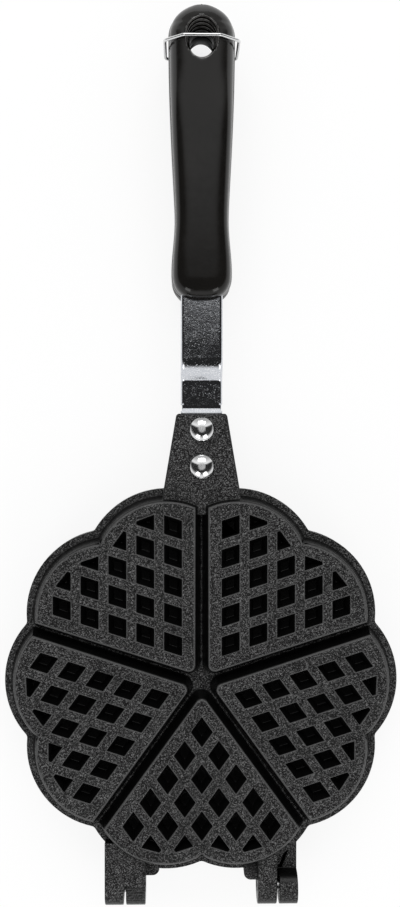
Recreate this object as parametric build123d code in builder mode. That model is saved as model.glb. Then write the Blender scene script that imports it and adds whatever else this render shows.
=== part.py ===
from build123d import *
from math import asin, atan2, cos, degrees, radians, sin, sqrt, tan
import os

os.makedirs("parts", exist_ok=True)

# A five-heart stovetop waffle iron, closed and lying on its lower half. The handle points along +Y.
# The origin is under the middle of the closed iron, level with the underside of the lower grip.
# Each half is drawn in its own frame: plate centre at 0, 0, parting plane at height 0, outer side up.

# ---- driving sizes, in millimetres ----
# rim of each casting: ten round lobes, two to each heart
heart_count = 5
lobe_centre = 49.3           # from the plate's centre to the centre of each lobe
lobe_radius = 36.3
rim_notch_radius = 2.5       # rounding where two lobes meet
seam_gap = 0.4               # air between the two rims when the iron is shut
rim_top = 3.0                # outer face of the rim above the parting plane
rim_land = 3.0               # flat of the rim outside the pads

# heart pads on the outside and heart moulds on the inside
pad_top = 11.5
pad_draft = 14.0             # slope of the pads' walls
pad_edge_radius = 1.8
groove_floor = 1.0           # width of the valley between two hearts
casting_wall = 2.0
heart_tip_radius = 5.0
heart_corner_radius = 6.0
heart_notch_radius = 2.5

# rhombic pits, which stand inside as pegs
pit_pitch = 12.5
first_pit = 21.0             # from the plate's centre to the first pit of a heart
pit_width = 7.8              # across the flats at the pad's face
pit_depth = 6.0
pit_draft = 18.0
pit_margin = 10.5            # from the rim to the outer ends of the pits
pit_rows = 6                 # the last row is cut off along the heart's outline

# handle lug: a root on the rim and a tapering tongue that hangs over the bracket
lug_reach = 30.1             # past the lobes' outermost points
lug_inset = 13.6             # from those points in to the lug's root
lug_step_inset = 0.1         # from those points in to where the tongue starts to hang free
lug_end_width = 21.8
lug_root_width = 36.6
lug_top = 8.5
lug_under = 4.0
lug_corner_radius = 1.5
lug_edge_radius = 1.2

# rivets
front_rivet_inset = 7.4      # from the lug's step
rear_rivet_inset = 6.7       # from the lug's end
rivet_shank = 5.0
rivet_head = 10.4
rivet_dome = 2.8
rivet_tail = 8.4
rivet_tail_height = 1.6

# bracket: a flat tongue, then a channel with a crank, then a narrow tang in the grip
bracket_width = 18.0
bracket_sheet = 1.5
bracket_root_gap = 0.5
bracket_lip_gap = 0.4        # from the parting plane to the channel's turned-in edges
bracket_edge_radius = 1.2
bracket_bend = 2.4
bend_relief = 1.3            # notch between the flat tongue and the turned-in edges
channel_gap = 2.7            # from the lug's end to the channel
channel_flat = 10.5          # from the channel's start to the crank
crank_run = 7.5
channel_length = 28.0        # from the crank to the grip
tang_width = 12.0
tang_length = 38.6
tang_clearance = 0.1

# grips
grip_length = 127.1
grip_outer = 17.5            # outer face above the parting plane
grip_inner = 0.3
grip_front_half_width = 8.4
grip_bulge_half_width = 12.95
grip_bulge_place = 11.7      # from the grip's front
grip_waist_half_width = 11.7
grip_waist_place = 34.2
grip_tip_radius = 14.2
grip_front_rise = 1.8        # how far the front end is drawn in above and below
grip_outer_rounding = 0.72   # corner radii as shares of the half width
grip_inner_rounding = 0.22
grip_crown_limit = 0.75      # the most of a section's height that the outer rounding may take
grip_side_bulge = 0.04
grip_front_step = 30         # degrees between the grip's cross-sections along each of its curves
grip_waist_step = 60
grip_back_step = 30
grip_dome_step = 18
hanging_hole_inset = 16.2    # from the grip's tip
hole_radius = 5.2
hole_land = 2.7              # the hole is round here, then opens into an oval dish outside
dish_length = 20.0
dish_width = 14.6
dish_offset = 2.2            # of the dish's middle from the hole's, towards the grip's front
screw_inset = 24.6           # from the grip's front
screw_shank = 4.0
screw_head = 7.0
screw_head_height = 2.2
screw_sink = 3.6
screw_cover = 1.1            # grip material left over the screw's end
screw_clearance = 0.2

# latch wire
wire = 1.7
latch_inset = 17.5           # from the grip's tip
latch_side_gap = 1.15        # beside the upper grip
latch_face_gap = 0.05        # above the upper grip's highest face
latch_swing_gap = 0.35       # over the grip's rounded tip, all along the swing
latch_slope_width = 8.2      # the wire's sloping shoulders
latch_slope_height = 6.1
latch_bend = 2.6
pivot_depth = 4.4
pivot_clearance = 0.1

# hinge
barrel_radius = 7.5
barrel_bite = 1.1            # how far the barrels reach in past the lobes' outermost points
pin_diameter = 4.8
pin_running_clearance = 0.05
pin_inset = 0.4
inner_lug_place = 24.5       # from the iron's middle line
inner_lug_width = 8.3
outer_lug_width = 8.0
hinge_side_gap = 1.2         # between the two lugs of a pair
relief_clearance = 0.4
block_overhang = 0.2
block_reach = 22.0           # from the hinge's axis in over the rim
shoulder_width = 6.0
shoulder_inset = 4.5         # from the hinge's axis
shoulder_top = 5.0

# ---- derived places ----
rim_reach = lobe_centre + lobe_radius
rim_under = seam_gap / 2
heart_half_angle = 180 / heart_count
lobe_half_angle = heart_half_angle / 2
mould_ceiling = pad_top - casting_wall

lug_end = rim_reach + lug_reach
lug_root = rim_reach - lug_inset
lug_step = rim_reach - lug_step_inset
rivet_places = (lug_step + front_rivet_inset, lug_end - rear_rivet_inset)

grip_middle = (grip_inner + grip_outer) / 2
bracket_start = lug_step + bracket_root_gap
bracket_under = lug_under - bracket_sheet
bracket_lip = bracket_under - bracket_lip_gap
channel_start = lug_end + channel_gap
crank_start = channel_start + channel_flat
crank_end = crank_start + crank_run
tang_under = grip_middle - bracket_sheet / 2

grip_front = crank_end + channel_length
grip_tip = grip_front + grip_length
grip_dome = grip_tip - grip_tip_radius
grip_shoulder = grip_front - tang_clearance
tang_end = grip_front + tang_length
screw_place = grip_front + screw_inset
screw_seat = grip_inner + screw_sink
screw_end = grip_outer - screw_cover
hanging_hole = grip_tip - hanging_hole_inset

latch_place = grip_tip - latch_inset
latch_pivot = -grip_middle
latch_top = grip_outer + latch_face_gap + wire / 2
latch_half_width = grip_tip_radius + latch_side_gap + wire / 2
nose_radius = grip_outer + latch_face_gap - latch_swing_gap - latch_pivot

pin_radius = pin_diameter / 2
pin_hole_radius = pin_radius + pin_running_clearance
hinge_place = barrel_bite - rim_reach - barrel_radius
hinge_root = hinge_place + block_reach
inner_lug = (inner_lug_place, inner_lug_place + inner_lug_width)
outer_lug = (inner_lug[1] + hinge_side_gap, inner_lug[1] + hinge_side_gap + outer_lug_width)

# the closed iron's middle is the origin, so the plates' centre lies behind it
plate_place = -(grip_tip + hinge_place - barrel_radius) / 2
upper_half = Plane(origin=(0, plate_place, grip_outer))
lower_half = Plane(origin=(0, plate_place, grip_outer), x_dir=(-1, 0, 0), z_dir=(0, 0, -1))
halves = (("lower", lower_half), ("upper", upper_half))


def side_plane(x):
    """A section plane at x: its x runs along the handle, its y outward, its normal along +X."""
    return Plane(origin=(x, 0, 0), x_dir=(0, 1, 0), z_dir=(1, 0, 0))


def cross_plane(y):
    """A section plane at y, square to the handle: its x runs across, its y outward."""
    return Plane(origin=(0, y, 0), x_dir=(1, 0, 0), z_dir=(0, -1, 0))


def upright_faces(builder):
    return builder.faces().filter_by(lambda face: abs(face.normal_at().Z) < 0.5)


def write(part, name):
    part.label = name
    export_step(part, f"parts/{name}.step")


# ---- castings ----
def heart_outline(inset, side_gap, growth=0.0):
    """A heart along +X: two lobes set in from the rim, and two sides beside the grooves."""
    radius = lobe_radius - inset
    lobe_ray = Vector(cos(radians(lobe_half_angle)), sin(radians(lobe_half_angle)))
    side_ray = Vector(cos(radians(heart_half_angle)), sin(radians(heart_half_angle)))
    inward = Vector(side_ray.Y, -side_ray.X)
    lobe = lobe_ray * lobe_centre
    reach = lobe.dot(side_ray) + sqrt(radius**2 - (side_gap - lobe.dot(inward)) ** 2)
    corner = side_ray * reach + inward * side_gap
    crest = lobe + lobe_ray * radius
    notch = lobe.X + sqrt(radius**2 - lobe.Y**2)
    with BuildSketch(mode=Mode.PRIVATE) as heart:
        with BuildLine():
            tip = Line((side_gap / sin(radians(heart_half_angle)), 0), (corner.X, corner.Y))
            ThreePointArc(tip @ 1, (crest.X, crest.Y), (notch, 0))
            mirror(about=Plane.XZ)
        make_face()
        on_axis = heart.vertices().filter_by(lambda point: abs(point.Y) < 0.01).sort_by(Axis.X)
        corners = heart.vertices().filter_by(lambda point: abs(abs(point.Y) - corner.Y) < 0.01)
        fillet(on_axis[0], heart_tip_radius - growth)
        fillet(on_axis[-1], heart_notch_radius + growth)
        fillet(corners, heart_corner_radius - growth)
    return heart.sketch


def heart_block(low, high, wall=0.0):
    """The pad's drafted form between two heights, or that form set in by a wall's thickness."""
    growth = (low - rim_top) * tan(radians(pad_draft)) + wall / cos(radians(pad_draft))
    with BuildPart() as block:
        with BuildSketch(Plane.XY.offset(low)):
            add(heart_outline(rim_land + growth, groove_floor / 2 + growth, growth))
        extrude(amount=high - low)
        draft(upright_faces(block), Plane.XY.offset(low), pad_draft)
    return block


def tapered(outline, level, depth):
    """A sketch sunk from a level and drawn in on all sides as it goes down."""
    with BuildPart() as form:
        with BuildSketch(Plane.XY.offset(level)):
            add(outline)
        extrude(amount=-depth)
        draft(upright_faces(form), Plane.XY.offset(level), -pit_draft)
    return form.part


def heart_lattice(flat_width, margin, level, depth):
    """One heart's tapered rhombi, in rows along its two sides, the last ones cut off along its lobes."""
    half_angle = radians(heart_half_angle)
    rhombus_side = flat_width / sin(2 * half_angle)
    reach = lobe_radius - margin
    with BuildSketch(mode=Mode.PRIVATE) as rhombus:
        with BuildLine():
            Polyline((rhombus_side * cos(half_angle), 0), (0, rhombus_side * sin(half_angle)),
                     (-rhombus_side * cos(half_angle), 0), (0, -rhombus_side * sin(half_angle)),
                     close=True)
        make_face()
    with BuildSketch(mode=Mode.PRIVATE) as inside_lobe:
        with Locations((reach, 0)):
            Rectangle(2 * reach, 2 * reach, align=(Align.MAX, Align.CENTER))
    pit = tapered(rhombus.sketch, level, depth)
    limit = tapered(inside_lobe.sketch, level, depth)
    whole_places = []
    cut_pits = []
    for left in range(pit_rows):
        for right in range(pit_rows - left):
            place = Vector(first_pit + pit_pitch * (left + right) * cos(half_angle),
                           pit_pitch * (left - right) * sin(half_angle))
            side = 1 if left >= right else -1
            lobe = Vector(lobe_centre, 0).rotate(Axis.Z, side * lobe_half_angle)
            ray = place - lobe
            if ray.length + flat_width / 2 < reach or place.X < lobe.X:
                whole_places.append(place)
            elif ray.length < reach + flat_width / 4:
                with BuildPart() as cut_pit:
                    with Locations(place):
                        add(pit)
                    with Locations(Location(lobe, (0, 0, degrees(atan2(ray.Y, ray.X))))):
                        add(limit, mode=Mode.INTERSECT)
                cut_pits.append(cut_pit.part)
    with BuildPart() as lattice:
        with Locations(*whole_places):
            add(pit)
        add(cut_pits)
    return lattice.part


pad = heart_block(rim_top, pad_top)
with pad:
    fillet(pad.faces().sort_by(Axis.Z)[-1].edges(), pad_edge_radius)
mould = heart_block(rim_under, mould_ceiling, casting_wall)

# a peg is its pit moved out by the casting's wall, so it is wider at every height
peg_tip = pad_top - pit_depth - casting_wall
peg_growth = casting_wall / cos(radians(pit_draft)) - casting_wall * tan(radians(pit_draft))
pits = heart_lattice(pit_width, pit_margin, pad_top, pit_depth)
pegs = heart_lattice(pit_width + 2 * peg_growth, pit_margin - peg_growth, mould_ceiling,
                     mould_ceiling - peg_tip)

with BuildPart() as casting:
    # rim
    with BuildSketch(Plane.XY.offset(rim_under)) as rim:
        Circle(lobe_centre)
        with PolarLocations(lobe_centre, 2 * heart_count):
            Circle(lobe_radius)
        fillet(rim.vertices(), rim_notch_radius)
    extrude(amount=rim_top - rim_under)

    # handle lug: a root on the rim, and a tapering tongue above the bracket
    with BuildSketch(Plane.XY.offset(lug_under)) as tongue:
        with BuildLine():
            Polyline((lug_root_width / 2, lug_root), (lug_end_width / 2, lug_end),
                     (-lug_end_width / 2, lug_end), (-lug_root_width / 2, lug_root), close=True)
        make_face()
        fillet(tongue.vertices().group_by(Axis.Y)[-1], lug_corner_radius)
    extrude(amount=lug_top - lug_under)
    fillet(casting.faces().sort_by(Axis.Z)[-1].edges().sort_by(Axis.Y)[1:], lug_edge_radius)
    with BuildSketch(Plane.XY.offset(rim_under)):
        add(tongue.sketch)
        with Locations((0, lug_step)):
            Rectangle(lug_root_width, lug_end, align=(Align.CENTER, Align.MIN), mode=Mode.SUBTRACT)
    extrude(amount=lug_under - rim_under)

    # hinge: outer lug and its block on one side, inner lug on the other
    for first, last in ((-outer_lug[1], -inner_lug[0] + block_overhang), inner_lug):
        with BuildSketch(side_plane(first)):
            with Locations((hinge_place, rim_under)):
                Rectangle(hinge_root - hinge_place, barrel_radius - rim_under,
                          align=(Align.MIN, Align.MIN))
        extrude(amount=last - first)
    with BuildSketch(side_plane(-inner_lug[1] - hinge_side_gap / 2)):
        with Locations((hinge_place, 0)):
            Circle(barrel_radius + relief_clearance)
    extrude(amount=inner_lug[1] + hinge_side_gap / 2, mode=Mode.SUBTRACT)
    for first, last in ((-outer_lug[1], -outer_lug[0]), inner_lug):
        with BuildSketch(side_plane(first)):
            with Locations((hinge_place, 0)):
                Circle(barrel_radius)
        extrude(amount=last - first)
    with BuildSketch(Plane.XY.offset(rim_under)) as shoulder:
        with Locations((inner_lug[0], hinge_root)):
            Rectangle(shoulder_width, block_reach - shoulder_inset, align=(Align.MAX, Align.MAX))
        fillet(shoulder.vertices().group_by(Axis.Y)[0].sort_by(Axis.X)[0], shoulder_width / 2)
    extrude(amount=shoulder_top - rim_under)

    # hearts: pads outside, moulds inside, pegs in the moulds and the pits that hollow them
    with PolarLocations(0, heart_count, start_angle=270):
        add(pad.part)
    with PolarLocations(0, heart_count, start_angle=270):
        add(mould.part, mode=Mode.SUBTRACT)
    with PolarLocations(0, heart_count, start_angle=270):
        add(pegs)
    with PolarLocations(0, heart_count, start_angle=270):
        add(pits, mode=Mode.SUBTRACT)

    # rivet holes and pin holes
    with BuildSketch(Plane.XY.offset(lug_top)):
        with Locations(*[(0, place) for place in rivet_places]):
            Circle(rivet_shank / 2)
    extrude(amount=lug_under - lug_top, mode=Mode.SUBTRACT)
    with BuildSketch(side_plane(0)):
        with Locations((hinge_place, 0)):
            Circle(pin_hole_radius)
    extrude(amount=outer_lug[1], both=True, mode=Mode.SUBTRACT)

# ---- brackets ----
def side_profile(shift, thickness, start):
    """The bracket's side view from a start to the grip: flat, crank up, flat again."""
    low = bracket_under + shift
    high = tang_under + shift
    with BuildSketch() as profile:
        with BuildLine():
            under = FilletPolyline((start, low), (crank_start, low), (crank_end, high),
                                   (grip_shoulder, high), radius=bracket_bend)
            over = FilletPolyline((start, low + thickness), (crank_start, low + thickness),
                                  (crank_end, high + thickness), (grip_shoulder, high + thickness),
                                  radius=bracket_bend)
            Line(under @ 0, over @ 0)
            Line(under @ 1, over @ 1)
        make_face()
    return profile.sketch


def is_outer_bend(edge):
    """True for the long edges where the sheet turns down into its lips."""
    middle = edge.center()
    climb = min(max((middle.Y - crank_start) / (crank_end - crank_start), 0), 1)
    level = bracket_under + climb * (tang_under - bracket_under)
    beside = abs(abs(middle.X) - bracket_width / 2) < 0.01
    between_ends = channel_start + 0.1 < middle.Y < grip_shoulder - 0.1
    return beside and between_ends and middle.Z > level


with BuildPart() as bracket:
    # channel: a rounded bar along the crank, hollowed from the parting side
    with BuildSketch(side_plane(0)):
        add(side_profile(-bracket_lip, bracket_lip + bracket_sheet, channel_start))
    extrude(amount=bracket_width / 2, both=True)
    fillet(bracket.edges().filter_by(is_outer_bend), bracket_edge_radius)
    with BuildSketch(side_plane(0)):
        add(side_profile(-bracket_lip, bracket_lip, channel_start))
    extrude(amount=bracket_width / 2 - bracket_sheet, both=True, mode=Mode.SUBTRACT)

    # flat tongue under the lug, with a relief notch at each side before the channel
    with BuildSketch(Plane.XY.offset(bracket_under)):
        with Locations((0, bracket_start)):
            Rectangle(bracket_width, channel_start - bracket_start, align=(Align.CENTER, Align.MIN))
        with Locations((bracket_width / 2, channel_start), (-bracket_width / 2, channel_start)):
            Rectangle(2 * bracket_sheet, 2 * bend_relief, mode=Mode.SUBTRACT)
    extrude(amount=bracket_sheet)

    # narrow tang inside the grip
    with BuildSketch(Plane.XY.offset(tang_under)) as tang:
        with Locations((0, grip_shoulder)):
            Rectangle(tang_width, tang_end - grip_shoulder, align=(Align.CENTER, Align.MIN))
        fillet(tang.vertices().group_by(Axis.Y)[-1], tang_width / 4)
        with Locations((0, screw_place)):
            Circle(screw_shank / 2, mode=Mode.SUBTRACT)
    extrude(amount=bracket_sheet)
    with BuildSketch(Plane.XY.offset(lug_under)):
        with Locations(*[(0, place) for place in rivet_places]):
            Circle(rivet_shank / 2)
    extrude(amount=-bracket_sheet, mode=Mode.SUBTRACT)

# ---- rivets: a domed head outside, a flattened tail inside ----
with BuildPart() as rivet:
    with BuildSketch(Plane.XZ):
        with BuildLine():
            tail = Polyline((0, bracket_under - rivet_tail_height),
                            (rivet_tail / 2, bracket_under - rivet_tail_height),
                            (rivet_tail / 2, bracket_under), (rivet_shank / 2, bracket_under),
                            (rivet_shank / 2, lug_top), (rivet_head / 2, lug_top))
            dome_radius = (rivet_head**2 / 4 + rivet_dome**2) / (2 * rivet_dome)
            CenterArc((0, lug_top + rivet_dome - dome_radius), dome_radius, 90,
                      -degrees(asin(rivet_head / 2 / dome_radius)))
            Line((0, lug_top + rivet_dome), tail @ 0)
        make_face()
    revolve(axis=Axis.Z)

# ---- grips ----
def grip_section(half_width, low, high):
    """Bulged sides, wide rounding outside and small rounding towards the parting plane."""
    outer = min(half_width * grip_outer_rounding, (high - low) * grip_crown_limit)
    inner = min(half_width * grip_inner_rounding, (high - low) * (1 - grip_crown_limit) * 0.9)
    edge = half_width * (1 - grip_side_bulge)
    side_middle = (low + inner + high - outer) / 2
    with BuildSketch() as section:
        with BuildLine():
            base = Line((0, low), (edge - inner, low))
            corner = JernArc(base @ 1, (1, 0), inner, 90)
            side = ThreePointArc(corner @ 1, (half_width, side_middle), (edge, high - outer))
            crown = JernArc(side @ 1, (0, 1), outer, 90)
            Line(crown @ 1, (0, high))
            mirror(about=Plane.YZ)
        make_face()
    return section.sketch


def nose_level(place):
    """The upper limit of the grip's outer face, which leaves room for the latch wire's swing."""
    past_pivot = max(place - latch_place, 0)
    return min(grip_outer, latch_pivot + sqrt(nose_radius**2 - past_pivot**2))


def grip_stations():
    """Distance from the front, half width, and how far the front end is still drawn in, from 1 to 0."""
    for angle in range(0, 90, grip_front_step):
        swell = sin(radians(angle))
        half_width = grip_front_half_width + swell * (grip_bulge_half_width - grip_front_half_width)
        yield grip_bulge_place * (1 - cos(radians(angle))), half_width, 1 - swell
    for angle in range(0, 180, grip_waist_step):
        share = (1 - cos(radians(angle))) / 2
        place = grip_bulge_place + (grip_waist_place - grip_bulge_place) * angle / 180
        yield place, grip_bulge_half_width + share * (grip_waist_half_width - grip_bulge_half_width), 0
    for angle in range(0, 91, grip_back_step):
        half_width = grip_waist_half_width + sin(radians(angle)) * (grip_tip_radius - grip_waist_half_width)
        yield grip_waist_place + (grip_dome - grip_front - grip_waist_place) * angle / 90, half_width, 0


with BuildPart() as grip:
    for distance, half_width, drawn_in in grip_stations():
        with BuildSketch(cross_plane(grip_front + distance)):
            add(grip_section(half_width, grip_inner + drawn_in * grip_front_rise,
                             grip_outer - drawn_in * grip_front_rise))
    for angle in range(grip_dome_step, 90, grip_dome_step):
        place = grip_dome + grip_tip_radius * sin(radians(angle))
        share = sqrt(1 - sin(radians(angle)) ** 4)
        with BuildSketch(cross_plane(place)):
            add(grip_section(grip_tip_radius * cos(radians(angle)),
                             grip_middle - share * (grip_middle - grip_inner),
                             grip_middle + share * (nose_level(place) - grip_middle)))
    loft(ruled=True)

    # hanging hole: a short round land at the parting plane, then a dish that opens out to an oval
    with BuildSketch(Plane.XY):
        with Locations((0, hanging_hole)):
            Circle(hole_radius)
    extrude(amount=grip_inner + hole_land, mode=Mode.SUBTRACT)
    with BuildSketch(Plane.XY.offset(grip_inner + hole_land)):
        with Locations((0, hanging_hole)):
            Circle(hole_radius)
    with BuildSketch(Plane.XY.offset(grip_outer)):
        with Locations((0, hanging_hole - dish_offset)):
            Ellipse(dish_width / 2, dish_length / 2)
    loft(mode=Mode.SUBTRACT)

    # slot for the bracket's tang, and the sunk hole for its screw
    with BuildSketch(Plane.XY.offset(tang_under - tang_clearance)):
        with Locations((0, grip_front)):
            Rectangle(tang_width + 2 * tang_clearance, tang_end + tang_clearance - grip_front,
                      align=(Align.CENTER, Align.MIN))
    extrude(amount=bracket_sheet + 2 * tang_clearance, mode=Mode.SUBTRACT)
    for radius, level in ((screw_head / 2 + screw_clearance, screw_seat),
                          (screw_shank / 2 + screw_clearance, screw_end + screw_clearance)):
        with BuildSketch(Plane.XY):
            with Locations((0, screw_place)):
                Circle(radius)
        extrude(amount=level, mode=Mode.SUBTRACT)

with BuildPart() as grip_screw:
    with BuildSketch(Plane.XY.offset(screw_seat)):
        with Locations((0, screw_place)):
            Circle(screw_shank / 2)
    extrude(amount=screw_end - screw_seat)
    with BuildSketch(Plane.XY.offset(screw_seat)):
        with Locations((0, screw_place)):
            Circle(screw_head / 2)
    extrude(amount=-screw_head_height)
    chamfer(grip_screw.faces().sort_by(Axis.Z)[0].edges(), screw_head_height / 4)

# ---- hinge pins: a small clearance in their own half's outer lug and in the other half's inner lug ----
with BuildPart() as hinge_pin:
    with BuildSketch(side_plane(-outer_lug[1] + pin_inset)):
        with Locations((hinge_place, 0)):
            Circle(pin_radius)
    extrude(amount=outer_lug[1] - inner_lug[0] - 2 * pin_inset)
    chamfer(hinge_pin.faces().filter_by(Axis.X).edges(), pin_inset)

# ---- both halves are the same pieces, one set turned over about the handle's axis ----
for side, half in halves:
    pieces = {
        f"{side}_plate": casting,
        f"{side}_bracket": bracket,
        f"{side}_grip_screw": grip_screw,
        f"{side}_hinge_pin": hinge_pin,
    }
    for name, piece in pieces.items():
        with BuildPart() as placed:
            with Locations(half.location):
                add(piece.part)
        write(placed.part, name)
    for position, place in zip(("front", "rear"), rivet_places):
        with BuildPart() as placed:
            with Locations(half.location * Location((0, place, 0))):
                add(rivet.part)
        write(placed.part, f"{side}_{position}_rivet")
    with BuildPart() as placed_grip:
        with Locations(half.location):
            add(grip.part)
        if side == "lower":
            # blind holes for the latch wire's turned-in ends
            for hand in (-1, 1):
                with BuildSketch(Plane(origin=half.from_local_coords(
                        (hand * (grip_tip_radius - pivot_depth), latch_place, -latch_pivot)),
                        z_dir=half.x_dir * hand)):
                    Circle(wire / 2 + pivot_clearance)
                extrude(amount=2 * pivot_depth, mode=Mode.SUBTRACT)
    write(placed_grip.part, f"{side}_grip")

# ---- latch wire: a ring round both grips, with its turned-in ends in the lower one ----
latch_plane = Plane(origin=upper_half.from_local_coords((0, latch_place, 0)), x_dir=(1, 0, 0),
                    z_dir=(0, -1, 0))
with BuildPart() as latch_wire:
    with BuildLine(latch_plane) as ring:
        end = grip_tip_radius - pivot_depth + pivot_clearance
        bar_end = latch_half_width - latch_slope_width
        shoulder_level = latch_top - latch_slope_height
        FilletPolyline((end, latch_pivot), (latch_half_width, latch_pivot),
                       (latch_half_width, shoulder_level), (bar_end, latch_top),
                       (-bar_end, latch_top), (-latch_half_width, shoulder_level),
                       (-latch_half_width, latch_pivot), (-end, latch_pivot), radius=latch_bend)
    with BuildSketch(Plane(origin=ring.line @ 0, z_dir=ring.line % 0)):
        Circle(wire / 2)
    sweep()
write(latch_wire.part, "latch_wire")
print("overall length", grip_tip + barrel_radius - hinge_place, "width of the plates", 2 * rim_reach)
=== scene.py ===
import bmesh
import bpy
import numpy as np
from mathutils import Matrix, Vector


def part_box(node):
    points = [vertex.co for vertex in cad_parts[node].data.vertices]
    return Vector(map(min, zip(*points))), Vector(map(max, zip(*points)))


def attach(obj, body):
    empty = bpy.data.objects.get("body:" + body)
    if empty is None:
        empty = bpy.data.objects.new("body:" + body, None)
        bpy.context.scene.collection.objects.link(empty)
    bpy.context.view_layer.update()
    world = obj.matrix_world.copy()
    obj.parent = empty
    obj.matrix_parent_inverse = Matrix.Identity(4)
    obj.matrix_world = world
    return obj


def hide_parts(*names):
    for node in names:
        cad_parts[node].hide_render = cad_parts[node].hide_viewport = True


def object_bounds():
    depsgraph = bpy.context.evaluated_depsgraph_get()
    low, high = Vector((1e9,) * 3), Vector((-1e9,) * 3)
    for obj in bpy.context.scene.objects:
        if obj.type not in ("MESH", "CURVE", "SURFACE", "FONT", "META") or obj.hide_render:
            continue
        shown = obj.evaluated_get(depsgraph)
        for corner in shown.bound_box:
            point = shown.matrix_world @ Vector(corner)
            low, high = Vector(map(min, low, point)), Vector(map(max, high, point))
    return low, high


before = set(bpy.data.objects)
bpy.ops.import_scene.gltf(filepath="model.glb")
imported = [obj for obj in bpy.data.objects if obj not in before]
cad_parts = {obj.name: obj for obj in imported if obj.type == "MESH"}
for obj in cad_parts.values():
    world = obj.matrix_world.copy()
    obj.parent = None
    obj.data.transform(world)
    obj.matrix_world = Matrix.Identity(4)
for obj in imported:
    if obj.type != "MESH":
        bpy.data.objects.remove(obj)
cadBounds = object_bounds()
scene = bpy.context.scene
mm = 0.001

# Each half is worked out in its own frame, as it was drawn: plate centre at 0, 0, parting plane at height 0.
iron = {"platePlace": -96.0, "partingHeight": 17.5, "hingePlace": -92.0}


def placeHalf(points, half):
    # own x, y and height to the shared frame; the lower half is turned over about the handle's axis
    turn = 1 if half == "upper" else -1
    return np.stack([turn * points[..., 0], points[..., 1] + iron["platePlace"],
                     iron["partingHeight"] + turn * points[..., 2]], axis=-1) * mm


def tidyMesh(mesh, mergeDistance=1e-6):
    # doubles are merged, slivers taken out and every face turned outwards
    work = bmesh.new()
    work.from_mesh(mesh)
    bmesh.ops.remove_doubles(work, verts=work.verts, dist=mergeDistance)
    bmesh.ops.dissolve_degenerate(work, edges=work.edges, dist=1e-7)
    bmesh.ops.recalc_face_normals(work, faces=work.faces)
    work.to_mesh(mesh)
    work.free()


def gridMesh(name, rows):
    # rows of points round a closed section: neighbours are joined by quads, each end by one face
    count, around = rows.shape[:2]
    index = np.arange(count * around).reshape(count, around)
    beside = np.roll(index, -1, axis=1)
    quads = np.stack([index[:-1], beside[:-1], beside[1:], index[1:]], axis=-1).reshape(-1, 4)
    mesh = bpy.data.meshes.new(name)
    mesh.from_pydata(rows.reshape(-1, 3), [], quads.tolist() + [index[0][::-1].tolist(), index[-1].tolist()])
    tidyMesh(mesh)
    return mesh


def latheRows(radii, heights, around=64):
    # a profile turned about the upright axis: x = r cos a, y = r sin a, z = height
    angle = np.linspace(0, 2 * np.pi, around, endpoint=False)
    radii, heights = np.asarray(radii)[:, None], np.asarray(heights)[:, None]
    return np.stack([radii * np.cos(angle), radii * np.sin(angle), heights + 0 * angle], axis=-1)


def tubeRows(path, across, radius, around=24):
    # a circle carried along a flat path: point + r cos a * side + r sin a * across, side square to path and across
    along = np.gradient(path, axis=0)
    along /= np.linalg.norm(along, axis=1, keepdims=True)
    side = np.cross(along, across)
    angle = np.linspace(0, 2 * np.pi, around, endpoint=False)[None, :, None]
    radius = np.broadcast_to(radius, len(path))[:, None, None]
    return path[:, None] + radius * (np.cos(angle) * side[:, None] + np.sin(angle) * across)


def newPiece(name, mesh, body, slotName, *replaced):
    piece = bpy.data.objects.new(name, mesh)
    scene.collection.objects.link(piece)
    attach(piece, body)
    if replaced:
        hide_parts(*replaced)
    return piece


def applyModifiers(piece):
    evaluated = piece.evaluated_get(bpy.context.evaluated_depsgraph_get())
    finished = bpy.data.meshes.new_from_object(evaluated)
    old = piece.data
    piece.modifiers.clear()
    piece.data = finished
    bpy.data.meshes.remove(old)


def cutAway(piece, *cutterMeshes):
    # the piece less every cutter, in one go
    cutters = [bpy.data.objects.new("cutter", mesh) for mesh in cutterMeshes]
    for cutter in cutters:
        scene.collection.objects.link(cutter)
        cut = piece.modifiers.new("cut", "BOOLEAN")
        cut.operation = "DIFFERENCE"
        cut.solver = "EXACT"
        cut.object = cutter
    applyModifiers(piece)
    for cutter in cutters:
        bpy.data.objects.remove(cutter)
    tidyMesh(piece.data, 0.00002)


def softenEdges(piece, width, angle=32, segments=2, keepFlats=True):
    # small roundings on every edge sharper than the angle, shaded by face size where flats are to stay flat
    piece.data.shade_smooth()
    bevel = piece.modifiers.new("edges", "BEVEL")
    bevel.width = width * mm
    bevel.segments = segments
    bevel.limit_method = "ANGLE"
    bevel.angle_limit = np.radians(angle)
    bevel.use_clamp_overlap = not keepFlats
    if keepFlats:
        weights = piece.modifiers.new("shading", "WEIGHTED_NORMAL")
        weights.keep_sharp = False
    applyModifiers(piece)


def copyNode(nodeName, pieceName, body, slotName):
    # the CAD node's own form, its triangles joined up and its flats made single faces
    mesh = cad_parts[nodeName].data.copy()
    mesh.name = pieceName
    mesh.materials.clear()
    work = bmesh.new()
    work.from_mesh(mesh)
    bmesh.ops.remove_doubles(work, verts=work.verts, dist=5e-6)
    bmesh.ops.dissolve_limit(work, angle_limit=np.radians(0.6), verts=work.verts, edges=work.edges)
    work.to_mesh(mesh)
    work.free()
    return newPiece(pieceName, mesh, body, slotName, nodeName)


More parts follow.
